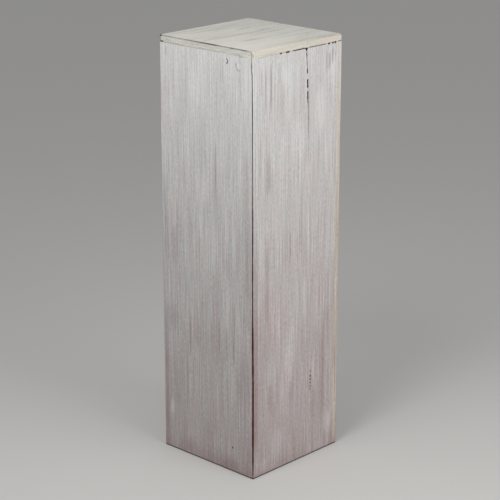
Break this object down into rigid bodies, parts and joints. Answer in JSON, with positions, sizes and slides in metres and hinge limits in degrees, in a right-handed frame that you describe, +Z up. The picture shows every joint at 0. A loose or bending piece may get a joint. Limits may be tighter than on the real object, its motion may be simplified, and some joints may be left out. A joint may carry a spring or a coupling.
{
  "type": "wooden column",
  "caption": "Square hollow display column of whitewashed pine boards, closed by a flush board on top and open underneath, with an open split in one side.",
  "frame": {"origin": "middle of the underside, on the floor", "axes": "+Z up along the column; the front board faces -Y and the right board, with the split, faces +X"},
  "size_m": [0.29, 0.29, 1],
  "materials": {
    "whitewashed_pine_walls": "red-brown stain under a thin matt white wash, brushed along the grain and rubbed through at the arrises",
    "whitewashed_pine_top": "creamier matt wash with the grain showing, dark fine cracks along the grain"
  },
  "bodies": {
    "root": {"front_board": "whitewashed_pine_walls", "right_board": "whitewashed_pine_walls", "back_board": "whitewashed_pine_walls", "left_board": "whitewashed_pine_walls", "top_board": "whitewashed_pine_top"}
  },
  "joints": []
}
